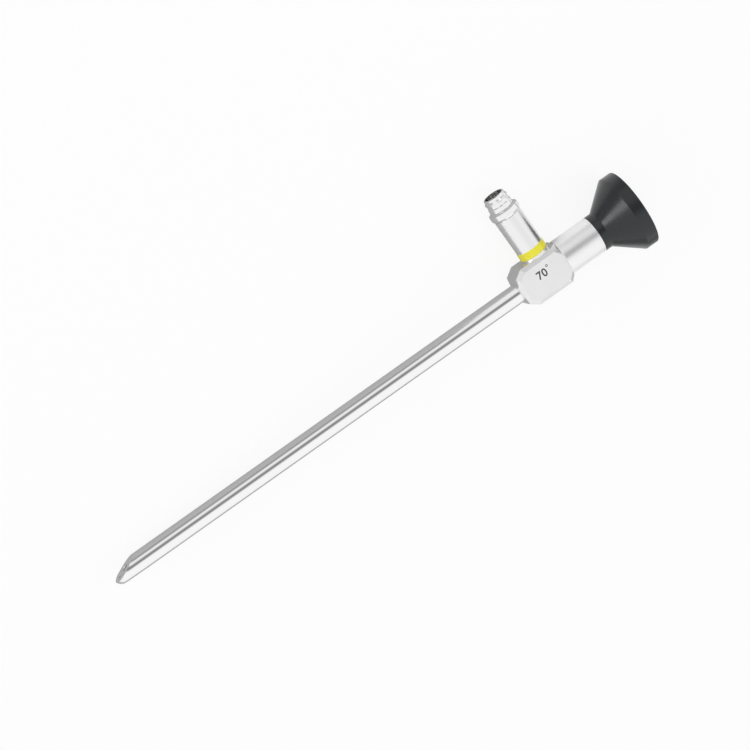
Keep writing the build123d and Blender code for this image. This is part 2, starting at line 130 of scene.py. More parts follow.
class NodeBench:
    """Adds and links nodes in one tree, so that a material reads as a list of steps."""

    def __init__(self, tree: bpy.types.NodeTree) -> None:
        """Keep the tree that the nodes go into."""
        self.tree = tree

    def add(self, kind: str, settings: dict | None = None, **inputs: object) -> bpy.types.Node:
        """Add a node.

        Args:
            kind: Blender's name for the type of node.
            settings: Properties of the node itself.
            **inputs: Values or sockets for its inputs, by name with spaces as underscores,
                or by place as i0, i1 and so on.

        Returns:
            The new node.
        """
        node = self.tree.nodes.new(kind)
        for name, value in (settings or {}).items():
            setattr(node, name, value)
        for name, value in inputs.items():
            self.feed(node, name, value)
        return node

    def feed(self, node: bpy.types.Node, name: str, value: object) -> None:
        """Set or link one input.

        Args:
            node: The node whose input is fed.
            name: The input's name with underscores, or i and its place.
            value: A number, vector, colour or another node's socket.
        """
        by_place = name[0] == "i" and name[1:].isdigit()
        socket = node.inputs[int(name[1:]) if by_place else name.replace("_", " ")]
        if isinstance(value, bpy.types.NodeSocket):
            self.tree.links.new(value, socket)
        else:
            socket.default_value = value

    def math(self, operation: str, *values: object, clamp: bool = False) -> bpy.types.NodeSocket:
        """Return the result of a Math node."""
        places = {f"i{place}": value for place, value in enumerate(values)}
        node = self.add("ShaderNodeMath", {"operation": operation, "use_clamp": clamp}, **places)
        return node.outputs[0]

    def vector(self, operation: str, *values: object) -> bpy.types.Node:
        """Return a Vector Math node; the caller takes Vector or Value from it."""
        places = {f"i{place}": value for place, value in enumerate(values)}
        return self.add("ShaderNodeVectorMath", {"operation": operation}, **places)

    def span(self, value: object, low: float, high: float, to_low: float,
             to_high: float) -> bpy.types.NodeSocket:
        """Return a value mapped from one range to another and held there."""
        node = self.add("ShaderNodeMapRange", {"clamp": True}, Value=value, From_Min=low,
                        From_Max=high, To_Min=to_low, To_Max=to_high)
        return node.outputs["Result"]

    def noise(self, vector: object, scale: float, detail: float) -> bpy.types.NodeSocket:
        """Return the value of a noise texture at a place."""
        node = self.add("ShaderNodeTexNoise", Vector=vector, Scale=scale, Detail=detail)
        return node.outputs[0]

    def ramp(self, value: object, stops: list[tuple[float, float]]) -> bpy.types.NodeSocket:
        """Return a grey ramp of a value.

        Args:
            value: The socket that runs along the ramp.
            stops: Place and grey of each stop, in order.

        Returns:
            The ramp's colour socket.
        """
        node = self.add("ShaderNodeValToRGB", Fac=value)
        elements = node.color_ramp.elements
        while len(elements) > 1:
            elements.remove(elements[-1])
        elements[0].position = stops[0][0]
        for place, _ in stops[1:]:
            elements.new(place)
        for element, (_, grey) in zip(elements, stops):
            element.color = (grey, grey, grey, 1)
        return node.outputs["Color"]

    def blend_colour(self, factor: object, first: object, second: object) -> bpy.types.NodeSocket:
        """Return a mix of two colours.

        Args:
            factor: Share of the second colour.
            first: The colour at 0.
            second: The colour at 1.

        Returns:
            The mixed colour's socket.
        """
        node = self.add("ShaderNodeMix", {"data_type": "RGBA"})
        self.feed(node, "i0", factor)
        self.feed(node, "i6", first)
        self.feed(node, "i7", second)
        return node.outputs[2]


def new_group(name: str, inputs: dict[str, str], outputs: dict[str, str]
              ) -> tuple[bpy.types.NodeTree, NodeBench, bpy.types.Node, bpy.types.Node]:
    """Start a shader node group.

    Args:
        name: The group's name.
        inputs: Socket type of each named input.
        outputs: Socket type of each named output.

    Returns:
        The group, its bench, its input node and its output node.
    """
    group = bpy.data.node_groups.new(name, "ShaderNodeTree")
    for label, kind in inputs.items():
        group.interface.new_socket(name=label, in_out="INPUT", socket_type=kind)
    for label, kind in outputs.items():
        group.interface.new_socket(name=label, in_out="OUTPUT", socket_type=kind)
    bench = NodeBench(group)
    return group, bench, bench.add("NodeGroupInput"), bench.add("NodeGroupOutput")


class SurfaceEffects:
    """The effects that several finishes share, each a node group built once.

    A window is the range of a noise that is stretched to a full mask. Scales are per metre.
    """

    GRAIN_WINDOW = (0.3, 0.7)
    SHEEN_WINDOW = (0.35, 0.65)
    PIT_SCALE, PIT_SHARE = 9000.0, 0.5
    MOTTLE_SCALE = 260.0
    EDGE_WINDOW = (0.985, 0.85)
    CHIP_SCALE = 900.0
    CHIP_WINDOW, CHIP_LEFT = (0.35, 0.6), 0.3

    def __init__(self) -> None:
        """Build every group."""
        self.grain = self._tool_grain()
        self.blast = self._blast()
        self.marks = self._handling_marks()
        self.edges = self._edge_mask()

    @staticmethod
    def _tool_grain() -> bpy.types.NodeTree:
        """Build fine lines round or along an axis, as turning and drawing leave them.

        Returns:
            The group, with Axis, Along and Round frequencies in, Lines out.
        """
        group, bench, given, out = new_group(
            "tool_grain", {"Axis": VECTOR, "Along": VALUE, "Round": VALUE}, {"Lines": VALUE})
        place = bench.add("ShaderNodeTexCoord").outputs["Object"]
        run = bench.vector("DOT_PRODUCT", place, given.outputs["Axis"]).outputs["Value"]
        on_axis = bench.vector("SCALE", given.outputs["Axis"])
        bench.feed(on_axis, "Scale", run)
        aside = bench.vector("SUBTRACT", place, on_axis.outputs["Vector"]).outputs["Vector"]
        fine = bench.vector("SCALE", on_axis.outputs["Vector"])
        bench.feed(fine, "Scale", given.outputs["Along"])
        slow = bench.vector("SCALE", aside)
        bench.feed(slow, "Scale", given.outputs["Round"])
        both = bench.vector("ADD", fine.outputs["Vector"], slow.outputs["Vector"])
        lines = bench.noise(both.outputs["Vector"], 1.0, 3.0)
        bench.feed(out, "Lines", bench.span(lines, *SurfaceEffects.GRAIN_WINDOW, 0.0, 1.0))
        return group

    @staticmethod
    def _blast() -> bpy.types.NodeTree:
        """Build the tiny dents of a bead-blasted face.

        Returns:
            The group, with Scale in, Height and Mottle out.
        """
        group, bench, given, out = new_group(
            "bead_blast", {"Scale": VALUE}, {"Height": VALUE, "Mottle": VALUE})
        place = bench.add("ShaderNodeTexCoord").outputs["Object"]
        dents = bench.add("ShaderNodeTexVoronoi", Vector=place, Scale=given.outputs["Scale"])
        pits = bench.math("MULTIPLY", bench.noise(place, SurfaceEffects.PIT_SCALE, 2.0),
                          SurfaceEffects.PIT_SHARE)
        bench.feed(out, "Height", bench.math("ADD", dents.outputs["Distance"], pits))
        mottle = bench.noise(place, SurfaceEffects.MOTTLE_SCALE, 4.0)
        bench.feed(out, "Mottle", bench.span(mottle, *SurfaceEffects.GRAIN_WINDOW, 0.0, 1.0))
        return group

    @staticmethod
    def _handling_marks() -> bpy.types.NodeTree:
        """Build the faint uneven sheen that wiping and handling leave.

        Returns:
            The group, with Scale in, Sheen out.
        """
        group, bench, given, out = new_group("handling_marks", {"Scale": VALUE}, {"Sheen": VALUE})
        place = bench.add("ShaderNodeTexCoord").outputs["Object"]
        large = bench.add("ShaderNodeTexNoise", Vector=place, Scale=given.outputs["Scale"],
                          Detail=5.0, Distortion=0.6)
        sheen = bench.span(large.outputs[0], *SurfaceEffects.SHEEN_WINDOW, 0.0, 1.0)
        bench.feed(out, "Sheen", sheen)
        return group

    @staticmethod
    def _edge_mask() -> bpy.types.NodeTree:
        """Build a mask of the outer edges, where handling rubs a finish brighter.

        Returns:
            The group, with Width in, Mask out.
        """
        group, bench, given, out = new_group("edge_wear", {"Width": VALUE}, {"Mask": VALUE})
        rounded = bench.add("ShaderNodeBevel", {"samples": 4}, Radius=given.outputs["Width"])
        plain = bench.add("ShaderNodeNewGeometry").outputs["Normal"]
        near = bench.vector("DOT_PRODUCT", rounded.outputs["Normal"], plain).outputs["Value"]
        mask = bench.span(near, *SurfaceEffects.EDGE_WINDOW, 0.0, 1.0)
        place = bench.add("ShaderNodeTexCoord").outputs["Object"]
        chips = bench.noise(place, SurfaceEffects.CHIP_SCALE, 4.0)
        broken = bench.span(chips, *SurfaceEffects.CHIP_WINDOW, SurfaceEffects.CHIP_LEFT, 1.0)
        bench.feed(out, "Mask", bench.math("MULTIPLY", mask, broken))
        return group


class Finish(Protocol):
    """Anything that can be made into a material.

    In every finish, scales and frequencies are per metre and widths are metres.
    """

    name: str

    def build(self, effects: SurfaceEffects) -> bpy.types.Material:
        """Make the material with the shared node groups."""


def start_material(name: str) -> tuple[bpy.types.Material, NodeBench, bpy.types.Node]:
    """Start a material with its Principled BSDF.

    Args:
        name: The material's name.

    Returns:
        The material, its bench and its shader.
    """
    material = bpy.data.materials.new(name)
    material.use_nodes = True
    bench = NodeBench(material.node_tree)
    shader = material.node_tree.nodes["Principled BSDF"]
    return material, bench, shader


def use(bench: NodeBench, group: bpy.types.NodeTree, **inputs: object) -> bpy.types.Node:
    """Place a shared effect in a material with its own values."""
    return bench.add("ShaderNodeGroup", {"node_tree": group}, **inputs)


def greyed(colour: tuple[float, float, float], level: float) -> tuple[float, float, float, float]:
    """Return a colour made lighter or darker, as a socket takes it."""
    return tuple(part * level for part in colour) + (1.0,)


# Finishes

@dataclass(frozen=True)
class TurnedSteel:
    """Stainless steel with the fine lines of a lathe, a drawing die or a belt."""

    name: str
    axis: Vector
    colour: tuple[float, float, float] = (0.93, 0.93, 0.932)
    roughness: float = 0.26
    spread: float = 0.03
    along: float = 14000.0
    round_about: float = 60.0
    relief: float = 0.05
    edge_width: float = 0.00015
    sheen_scale: float = 55.0
    rubbed: tuple[float, float, float] = (0.95, 0.95, 0.95)

    def build(self, effects: SurfaceEffects) -> bpy.types.Material:
        """Make the material.

        Args:
            effects: The shared node groups.

        Returns:
            The steel, with its lines in roughness, colour and relief.
        """
        material, bench, shader = start_material(self.name)
        grain = use(bench, effects.grain, Axis=self.axis, Along=self.along, Round=self.round_about)
        lines = grain.outputs["Lines"]
        sheen = use(bench, effects.marks, Scale=self.sheen_scale).outputs["Sheen"]
        edge = use(bench, effects.edges, Width=self.edge_width).outputs["Mask"]
        shade = bench.blend_colour(lines, greyed(self.colour, 0.98), greyed(self.colour, 1.0))
        bench.feed(shader, "Base_Color", bench.blend_colour(edge, shade, greyed(self.rubbed, 1.0)))
        rough = bench.span(lines, 0.0, 1.0, self.roughness - self.spread,
                           self.roughness + self.spread)
        uneven = bench.span(sheen, 0.0, 1.0, -self.spread / 2, self.spread / 2)
        bench.feed(shader, "Roughness", bench.math("ADD", rough, uneven))
        bump = bench.add("ShaderNodeBump", Height=lines, Strength=self.relief,
                         Distance=LINE_DEPTH)
        bench.feed(shader, "Normal", bump.outputs["Normal"])
        shader.inputs["Metallic"].default_value = 1.0
        return material


@dataclass(frozen=True)
class BlastedSteel:
    """Stainless steel with an even, pale, bead-blasted face."""

    name: str = "block_steel"
    colour: tuple[float, float, float] = (0.90, 0.90, 0.90)
    rubbed: tuple[float, float, float] = (0.97, 0.97, 0.97)
    roughness: float = 0.24
    spread: float = 0.03
    polish: float = 0.15
    relief: float = 0.12
    edge_width: float = 0.0002
    dent_scale: float = 7000.0
    sheen_scale: float = 90.0

    def build(self, effects: SurfaceEffects) -> bpy.types.Material:
        """Make the material.

        Args:
            effects: The shared node groups.

        Returns:
            The blasted steel, rubbed brighter at its edges.
        """
        material, bench, shader = start_material(self.name)
        blast = use(bench, effects.blast, Scale=self.dent_scale)
        edge = use(bench, effects.edges, Width=self.edge_width).outputs["Mask"]
        sheen = use(bench, effects.marks, Scale=self.sheen_scale).outputs["Sheen"]
        shade = bench.blend_colour(blast.outputs["Mottle"], greyed(self.colour, 0.97),
                                   greyed(self.colour, 1.0))
        bench.feed(shader, "Base_Color", bench.blend_colour(edge, shade, greyed(self.rubbed, 1.0)))
        rough = bench.span(sheen, 0.0, 1.0, self.roughness - self.spread,
                           self.roughness + self.spread)
        worn = bench.math("MULTIPLY", edge, self.polish)
        bench.feed(shader, "Roughness", bench.math("SUBTRACT", rough, worn))
        bump = bench.add("ShaderNodeBump", Height=blast.outputs["Height"], Strength=self.relief,
                         Distance=DENT_DEPTH)
        bench.feed(shader, "Normal", bump.outputs["Normal"])
        shader.inputs["Metallic"].default_value = 1.0
        return material


@dataclass(frozen=True)
class TurnedPlastic:
    """Hard plastic or lacquer, with the faint rings of its turning."""

    name: str
    axis: Vector
    colour: tuple[float, float, float]
    rubbed: tuple[float, float, float]
    roughness: float = 0.3
    spread: float = 0.03
    relief: float = 0.2
    coat: float = 0.0
    coat_roughness: float = 0.08
    index: float = 1.5
    along: float = 9000.0
    round_about: float = 80.0
    edge_width: float = 0.00022
    wear: float = 0.35
    sheen_scale: float = 70.0

    def build(self, effects: SurfaceEffects) -> bpy.types.Material:
        """Make the material.

        Args:
            effects: The shared node groups.

        Returns:
            The plastic, rubbed along its edges.
        """
        material, bench, shader = start_material(self.name)
        grain = use(bench, effects.grain, Axis=self.axis, Along=self.along, Round=self.round_about)
        lines = grain.outputs["Lines"]
        edge = use(bench, effects.edges, Width=self.edge_width).outputs["Mask"]
        sheen = use(bench, effects.marks, Scale=self.sheen_scale).outputs["Sheen"]
        shade = bench.blend_colour(sheen, greyed(self.colour, 0.92), greyed(self.colour, 1.05))
        worn = bench.math("MULTIPLY", edge, self.wear)
        bench.feed(shader, "Base_Color", bench.blend_colour(worn, shade, greyed(self.rubbed, 1.0)))
        rough = bench.span(lines, 0.0, 1.0, self.roughness - self.spread,
                           self.roughness + self.spread)
        uneven = bench.span(sheen, 0.0, 1.0, -self.spread, self.spread)
        bench.feed(shader, "Roughness", bench.math("ADD", rough, uneven))
        bump = bench.add("ShaderNodeBump", Height=lines, Strength=self.relief,
                         Distance=LINE_DEPTH)
        bench.feed(shader, "Normal", bump.outputs["Normal"])
        shader.inputs["IOR"].default_value = self.index
        if self.coat:
            shader.inputs["Coat Weight"].default_value = self.coat
            shader.inputs["Coat Roughness"].default_value = self.coat_roughness
        return material


@dataclass(frozen=True)
class CoatedGlass:
    """Optical glass with the faint tint of its coating."""

    name: str = "optical_glass"
    colour: tuple[float, float, float] = (0.93, 0.97, 0.99)
    index: float = 1.52
    smoothest: float = 0.01
    dullest: float = 0.025
    sheen_scale: float = 400.0

    def build(self, effects: SurfaceEffects) -> bpy.types.Material:
        """Make the material.

        Args:
            effects: The shared node groups.

        Returns:
            The glass.
        """
        material, bench, shader = start_material(self.name)
        sheen = use(bench, effects.marks, Scale=self.sheen_scale).outputs["Sheen"]
        tint = bench.blend_colour(sheen, greyed(self.colour, 0.98), greyed(self.colour, 1.0))
        bench.feed(shader, "Base_Color", tint)
        rough = bench.span(sheen, 0.0, 1.0, self.smoothest, self.dullest)
        bench.feed(shader, "Roughness", rough)
        shader.inputs["Transmission Weight"].default_value = 1.0
        shader.inputs["IOR"].default_value = self.index
        return material


@dataclass(frozen=True)
class PlainFinish:
    """An inner or small piece's finish: one colour with fine speckle and grain."""

    name: str
    colour: tuple[float, float, float]
    roughness: float
    metallic: float = 0.0
    speckle: float = 0.12
    spread: float = 0.15
    relief: float = 0.3
    scale: float = 3000.0

    def build(self, effects: SurfaceEffects) -> bpy.types.Material:
        """Make the material.

        Args:
            effects: The shared node groups.

        Returns:
            The finish.
        """
        material, bench, shader = start_material(self.name)
        blast = use(bench, effects.blast, Scale=self.scale)
        shade = bench.blend_colour(blast.outputs["Mottle"], greyed(self.colour, 1 - self.speckle),
                                   greyed(self.colour, 1 + self.speckle))
        bench.feed(shader, "Base_Color", shade)
        rough = bench.span(blast.outputs["Mottle"], 0.0, 1.0, self.roughness * (1 - self.spread),
                           self.roughness * (1 + self.spread))
        bench.feed(shader, "Roughness", rough)
        bump = bench.add("ShaderNodeBump", Height=blast.outputs["Height"], Strength=self.relief,
                         Distance=DENT_DEPTH)
        bench.feed(shader, "Normal", bump.outputs["Normal"])
        shader.inputs["Metallic"].default_value = self.metallic
        return material


BLACK_ANODISED = PlainFinish("black_anodised", (0.03, 0.03, 0.033), 0.5, metallic=0.4)
INNER_STEEL = PlainFinish("inner_steel", (0.6, 0.6, 0.61), 0.3, metallic=1.0)
SEAL_RUBBER = PlainFinish("seal_rubber", (0.02, 0.02, 0.021), 0.7)
ENGRAVING = PlainFinish("engraving_black", (0.045, 0.046, 0.05), 0.55, speckle=0.25, scale=9000.0)
FIBRE_GLASS = PlainFinish("fibre_ends", (0.30, 0.28, 0.23), 0.18, speckle=0.15, scale=12000.0)


# Dressing

class Workshop:
    """Keeps the finishes and puts them on the solids and on the scene's own pieces."""

    def __init__(self, axes: InstrumentAxes) -> None:
        """Keep the axes and build the shared effects.

        Args:
            axes: The instrument's directions.
        """
        self.axes = axes
        self.effects = SurfaceEffects()
        self._made: dict[str, bpy.types.Material] = {}

    def material(self, finish: Finish) -> bpy.types.Material:
        """Return a finish's material, made the first time that it is asked for."""
        if finish.name not in self._made:
            self._made[finish.name] = finish.build(self.effects)
        return self._made[finish.name]

    def dress(self, finish: Finish, *nodes: str) -> None:
        """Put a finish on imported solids.

        Args:
            finish: The finish.
            *nodes: The names of the solids.
        """
        material = self.material(finish)
        for name in nodes:
            solid = frame["nodes"][name]
            for place in solid.material_slots:
                place.material = material
            LOG.info("%s finished in %s", name, finish.name)

    def own_piece(self, name: str, mesh: bpy.types.Mesh, finish: Finish,
                  slot: str) -> bpy.types.Object:
        """Add a piece of the scene's own, which rides with the instrument.

        Args:
            name: The piece's name.
            mesh: Its mesh, in place.
            finish: Its finish.
            slot: The name of a record's material slot; not used.

        Returns:
            The piece.
        """
        mesh.materials.clear()
        mesh.materials.append(self.material(finish))
        mesh.name = name
        piece = bpy.data.objects.new(name, mesh)
        bpy.context.scene.collection.objects.link(piece)
        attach(piece, BODY)
        LOG.info("%s added with %d faces", name, len(mesh.polygons))
        return piece


# Fibre ends

class FibrePacking:
    """A Geometry Nodes tree that packs polished fibre ends into a round port.

    FILL, MARGIN and LOOSENESS are shares: a fibre's radius of the pitch, the laid rows of the
    port's width, and the ends' stray of the pitch.
    """

    INPUTS = {"Port Radius": 0.001, "Pitch": 0.0001, "Fibre Radius": 0.00005, "Crown": 0.00001}
    FILL = 0.47
    MARGIN = 1.2
    LOOSENESS = 0.07
    CROWN_TOP = 0.72
    SIDES = 8
    SEED = 7

    def __init__(self, material: bpy.types.Material) -> None:
        """Build the tree.

        Args:
            material: The material of the fibre ends.
        """
        tree = bpy.data.node_groups.new("fibre_packing", "GeometryNodeTree")
        for label, value in self.INPUTS.items():
            socket = tree.interface.new_socket(name=label, in_out="INPUT", socket_type=VALUE)
            socket.default_value = value
        tree.interface.new_socket(name="Rows", in_out="INPUT", socket_type="NodeSocketInt")
        tree.interface.new_socket(name="Geometry", in_out="OUTPUT",
                                  socket_type="NodeSocketGeometry")
        self.tree = tree
        self._wire(material)

    def _wire(self, material: bpy.types.Material) -> None:
        """Lay out rows, shift every other one, keep the round port and place the ends.

        Args:
            material: The material of the fibre ends.
        """
        bench = NodeBench(self.tree)
        given = bench.add("NodeGroupInput").outputs
        rows, pitch = given["Rows"], given["Pitch"]
        side = bench.math("MULTIPLY", bench.math("SUBTRACT", rows, 1.0), pitch)
        row_step = math.sqrt(3) / 2
        grid = bench.add("GeometryNodeMeshGrid", Size_X=side,
                         Size_Y=bench.math("MULTIPLY", side, row_step),
                         Vertices_X=rows, Vertices_Y=rows)
        place = bench.add("GeometryNodeInputPosition").outputs[0]
        parts = bench.add("ShaderNodeSeparateXYZ", Vector=place).outputs
        row = bench.math("ROUND", bench.math("DIVIDE", parts["Y"],
                                             bench.math("MULTIPLY", pitch, row_step)))
        odd = bench.math("FLOORED_MODULO", row, 2.0)
        shift = bench.add("ShaderNodeCombineXYZ",
                          X=bench.math("MULTIPLY", bench.math("MULTIPLY", odd, pitch), 0.5))
        wobble = bench.add("FunctionNodeRandomValue", {"data_type": "FLOAT_VECTOR"})
        wobble.inputs[0].default_value = (-1, -1, 0)
        wobble.inputs[1].default_value = (1, 1, 0)
        wobble.inputs["Seed"].default_value = self.SEED
        loose = bench.vector("SCALE", wobble.outputs[0])
        bench.feed(loose, "Scale", bench.math("MULTIPLY", pitch, self.LOOSENESS))
        moved = bench.vector("ADD", shift.outputs[0], loose.outputs["Vector"])
        laid = bench.add("GeometryNodeSetPosition", Geometry=grid.outputs["Mesh"],
                         Offset=moved.outputs["Vector"])
        far = bench.vector("LENGTH", bench.add("GeometryNodeInputPosition").outputs[0])
        limit = bench.math("SUBTRACT", given["Port Radius"], given["Fibre Radius"])
        outside = bench.math("GREATER_THAN", far.outputs["Value"], limit)
        port = bench.add("GeometryNodeDeleteGeometry", {"domain": "POINT"},
                         Geometry=laid.outputs["Geometry"], Selection=outside)
        top = bench.math("MULTIPLY", given["Fibre Radius"], self.CROWN_TOP)
        end = bench.add("GeometryNodeMeshCone", {"fill_type": "NGON"}, Vertices=self.SIDES,
                        Radius_Top=top, Radius_Bottom=given["Fibre Radius"], Depth=given["Crown"])
        ends = bench.add("GeometryNodeInstanceOnPoints", Points=port.outputs["Geometry"],
                         Instance=end.outputs["Mesh"])
        real = bench.add("GeometryNodeRealizeInstances", Geometry=ends.outputs["Instances"])
        done = bench.add("GeometryNodeSetMaterial", Geometry=real.outputs["Geometry"])
        done.inputs["Material"].default_value = material
        out = bench.add("NodeGroupOutput")
        bench.feed(out, "Geometry", done.outputs["Geometry"])

    def mesh(self, radius: float, pitch: float, crown: float, placed: Matrix) -> bpy.types.Mesh:
        """Run the tree once and return a plain mesh.

        Args:
            radius: The port's radius in millimetres.
            pitch: Millimetres from one fibre's centre to the next.
            crown: How far a fibre's polished end stands out, in millimetres.
            placed: Where the port's centre and face are.

        Returns:
            The fibre ends in place.
        """
        sizes = {"Port Radius": radius * MM, "Pitch": pitch * MM,
                 "Fibre Radius": pitch * self.FILL * MM, "Crown": crown * MM,
                 "Rows": 2 * int(radius / pitch * self.MARGIN) + 1}
        carrier = bpy.data.objects.new("carrier", bpy.data.meshes.new("carrier"))
        bpy.context.scene.collection.objects.link(carrier)
        modifier = carrier.modifiers.new("fibres", "NODES")
        modifier.node_group = self.tree
        for item in self.tree.interface.items_tree:
            if item.in_out == "INPUT" and item.name in sizes:
                modifier[item.identifier] = sizes[item.name]
        bpy.context.view_layer.update()
        graph = bpy.context.evaluated_depsgraph_get()
        mesh = bpy.data.meshes.new_from_object(carrier.evaluated_get(graph))
        carrier.modifiers.remove(modifier)
        bpy.data.objects.remove(carrier)
        mesh.transform(placed)
        return mesh


# Sub-assemblies

@dataclass
class ShaftAssembly:
    """The tube and its nose, with the window, the light exit and the optics inside.

    Millimetres, with stations along the shaft from the block, and degrees.
    """

    shop: Workshop
    packing: FibrePacking
    bevel_angle: float = 27.0
    heel_station: float = -180.6
    shaft_radius: float = 3.9
    exit_station: float = -189.6
    exit_radius: float = 0.7
    fibre_pitch: float = 0.095
    fibre_crown: float = 0.008
    rods: int = 7

    def build(self) -> None:
        """Dress the tube, the nose and the optics, and lay the fibre ends in the light exit."""
        axes = self.shop.axes
        polished = TurnedSteel("shaft_steel", axes.along, roughness=0.12, spread=0.02,
                               along=70.0, round_about=9000.0)
        self.shop.dress(polished, "outer_tube", "tip_housing")
        self.shop.dress(CoatedGlass(), "distal_window", "deflecting_prism",
                        "objective_front_lens", "objective_rear_lens",
                        *(f"rod_lens_{place + 1}" for place in range(self.rods)))
        self.shop.dress(BLACK_ANODISED,
                        *(f"rod_spacer_{place + 1}" for place in range(self.rods - 1)))
        self.shop.dress(INNER_STEEL, "optic_tube")
        self.shop.dress(FIBRE_GLASS, "light_fibres")
        self._exit_fibres()

    def _exit_fibres(self) -> None:
        """Lay the fibre ends in the light exit on the bevel."""
        axes = self.shop.axes
        slope = math.radians(self.bevel_angle)
        way = axes.along * math.cos(slope) + axes.across * math.sin(slope)
        out = axes.across * math.cos(slope) - axes.along * math.sin(slope)
        height = self.shaft_radius + (self.exit_station - self.heel_station) * math.tan(slope)
        centre = axes.spot(self.exit_station, height) + out * FIBRE_LIFT
        mesh = self.packing.mesh(self.exit_radius, self.fibre_pitch, self.fibre_crown,
                                 placing(centre, way, out.cross(way)))
        self.shop.own_piece("exit_fibre_ends", mesh, FIBRE_GLASS, "light_fibre")


@dataclass
class HubAssembly:
    """The milled block with its angle number.

    Millimetres. Of the digits, width and share are ratios: how much they are narrowed, and their
    height in the font's size.
    """

    shop: Workshop
    face_depth: float = 7.1
    number: str = "70"
    number_station: float = 10.45
    number_height: float = 2.45
    digit_height: float = 3.3
    digit_width: float = 0.98
    digit_weight: float = 0.085
    degree_station: float = 13.7
    degree_height: float = 4.35
    degree_radius: float = 0.5
    degree_steps: int = 40
    degree_lift: float = 0.006
    stroke: float = 0.26
    face_lift: float = 0.002
    digit_thickness: float = 0.004
    digit_share: float = 0.73
    digit_spacing: float = 1.05
    digit_steps: int = 8

    def build(self) -> None:
        """Dress the block and engrave the number of degrees."""
        self.shop.dress(BlastedSteel(), "hub_block")
        self.shop.own_piece("angle_digits", self._digits(), ENGRAVING, "black_metal")
        self.shop.own_piece("angle_degree_ring", self._degree_ring(), ENGRAVING, "black_metal")

    def _face(self, station: float, height: float) -> Matrix:
        """Return the placing of a drawing on the printed face.

        Args:
            station: Where the drawing's origin is along the shaft.
            height: Where it is towards the light post.

        Returns:
            The placing matrix.
        """
        axes = self.shop.axes
        origin = axes.spot(station, height, self.face_depth + self.face_lift)
        return placing(origin, axes.along, axes.across)

    def _digits(self) -> bpy.types.Mesh:
        """Make the filled digits of the view angle.

        Returns:
            Their mesh, laid on the face.
        """
        curve = bpy.data.curves.new("digits", "FONT")
        curve.body = self.number
        curve.align_x = "CENTER"
        curve.align_y = "CENTER"
        curve.size = self.digit_height * MM / self.digit_share
        curve.space_character = self.digit_spacing
        curve.offset = self.digit_weight * MM
        curve.extrude = self.digit_thickness * MM
        curve.resolution_u = self.digit_steps
        text = bpy.data.objects.new("digits", curve)
        bpy.context.scene.collection.objects.link(text)
        bpy.context.view_layer.update()
        graph = bpy.context.evaluated_depsgraph_get()
        mesh = bpy.data.meshes.new_from_object(text.evaluated_get(graph))
        bpy.data.objects.remove(text)
        wide = Matrix.Diagonal((self.digit_width, 1.0, 1.0, 1.0))
        mesh.transform(self._face(self.number_station, self.number_height) @ wide)
        return mesh

    def _degree_ring(self) -> bpy.types.Mesh:
        """Make the small ring that stands for degrees.

        Returns:
            Its mesh, laid on the face.
        """
        steps = self.degree_steps
        tool = bmesh.new()
        rings = []
        outer, inner = self.degree_radius * MM, (self.degree_radius - self.stroke) * MM
        lift = self.degree_lift * MM
        for radius, rise in ((outer, 0.0), (outer, lift), (inner, lift), (inner, 0.0)):
            rings.append([tool.verts.new((radius * math.cos(math.tau * k / steps),
                                          radius * math.sin(math.tau * k / steps), rise))
                          for k in range(steps)])
        for low, high in zip(rings, rings[1:] + rings[:1]):
            for k in range(steps):
                after = (k + 1) % steps
                tool.faces.new((low[k], low[after], high[after], high[k]))
        bmesh.ops.recalc_face_normals(tool, faces=tool.faces)
        mesh = bpy.data.meshes.new("degree")
        tool.to_mesh(mesh)
        tool.free()
        mesh.transform(self._face(self.degree_station, self.degree_height))
        return mesh


@dataclass
class LightPost:
    """The post for the light cable, with its ring of yellow. Sizes are millimetres."""

    shop: Workshop
    packing: FibrePacking
    station: float = 14.2
    fibre_face: float = 32.3
    bundle_radius: float = 2.4
    fibre_pitch: float = 0.13
    fibre_crown: float = 0.01

    def build(self) -> None:
        """Dress the post and lay the fibre ends at the bottom of its recess."""
        way = self.shop.axes.post_way
        satin = TurnedSteel("post_steel", way, roughness=0.3)
        self.shop.dress(satin, "post_base", "post_barrel")
        bright = TurnedSteel("connector_steel", way, roughness=0.2)
        self.shop.dress(bright, "light_connector")
        yellow = TurnedPlastic("yellow_plastic", way, (0.83, 0.76, 0.03), (0.9, 0.86, 0.3),
                               roughness=0.32, coat=0.3)
        self.shop.dress(yellow, "colour_ring")
        self.shop.dress(INNER_STEEL, "fibre_ferrule")
        self.shop.dress(SEAL_RUBBER, "post_seal")
        axes = self.shop.axes
        centre = axes.spot(self.station) + way * (self.fibre_face * MM + FIBRE_LIFT)
        side = axes.outward.cross(way).normalized()
        mesh = self.packing.mesh(self.bundle_radius, self.fibre_pitch, self.fibre_crown,
                                 placing(centre, side, way.cross(side)))
        self.shop.own_piece("post_fibre_ends", mesh, FIBRE_GLASS, "light_fibre")


@dataclass
class EyepieceAssembly:
    """The sleeve, the black eyecup and the eyepiece optics."""

    shop: Workshop

    def build(self) -> None:
        """Dress the sleeve, the cup, the lenses and their fittings."""
        way = self.shop.axes.along
        self.shop.dress(TurnedSteel("sleeve_steel", way, roughness=0.36), "eyepiece_sleeve")
        cup = TurnedPlastic("eyecup_plastic", way, (0.012, 0.0138, 0.0155), (0.10, 0.10, 0.105),
                            roughness=0.24, relief=0.08)
        self.shop.dress(cup, "eyecup")
        self.shop.dress(BLACK_ANODISED, "ocular_tube", "field_stop", "ocular_ring", "window_ring")
        self.shop.dress(CoatedGlass(), "ocular_front_lens", "ocular_rear_lens", "eyepiece_window")
        self.shop.dress(SEAL_RUBBER, "sleeve_seal", "cup_seal")


# Studio

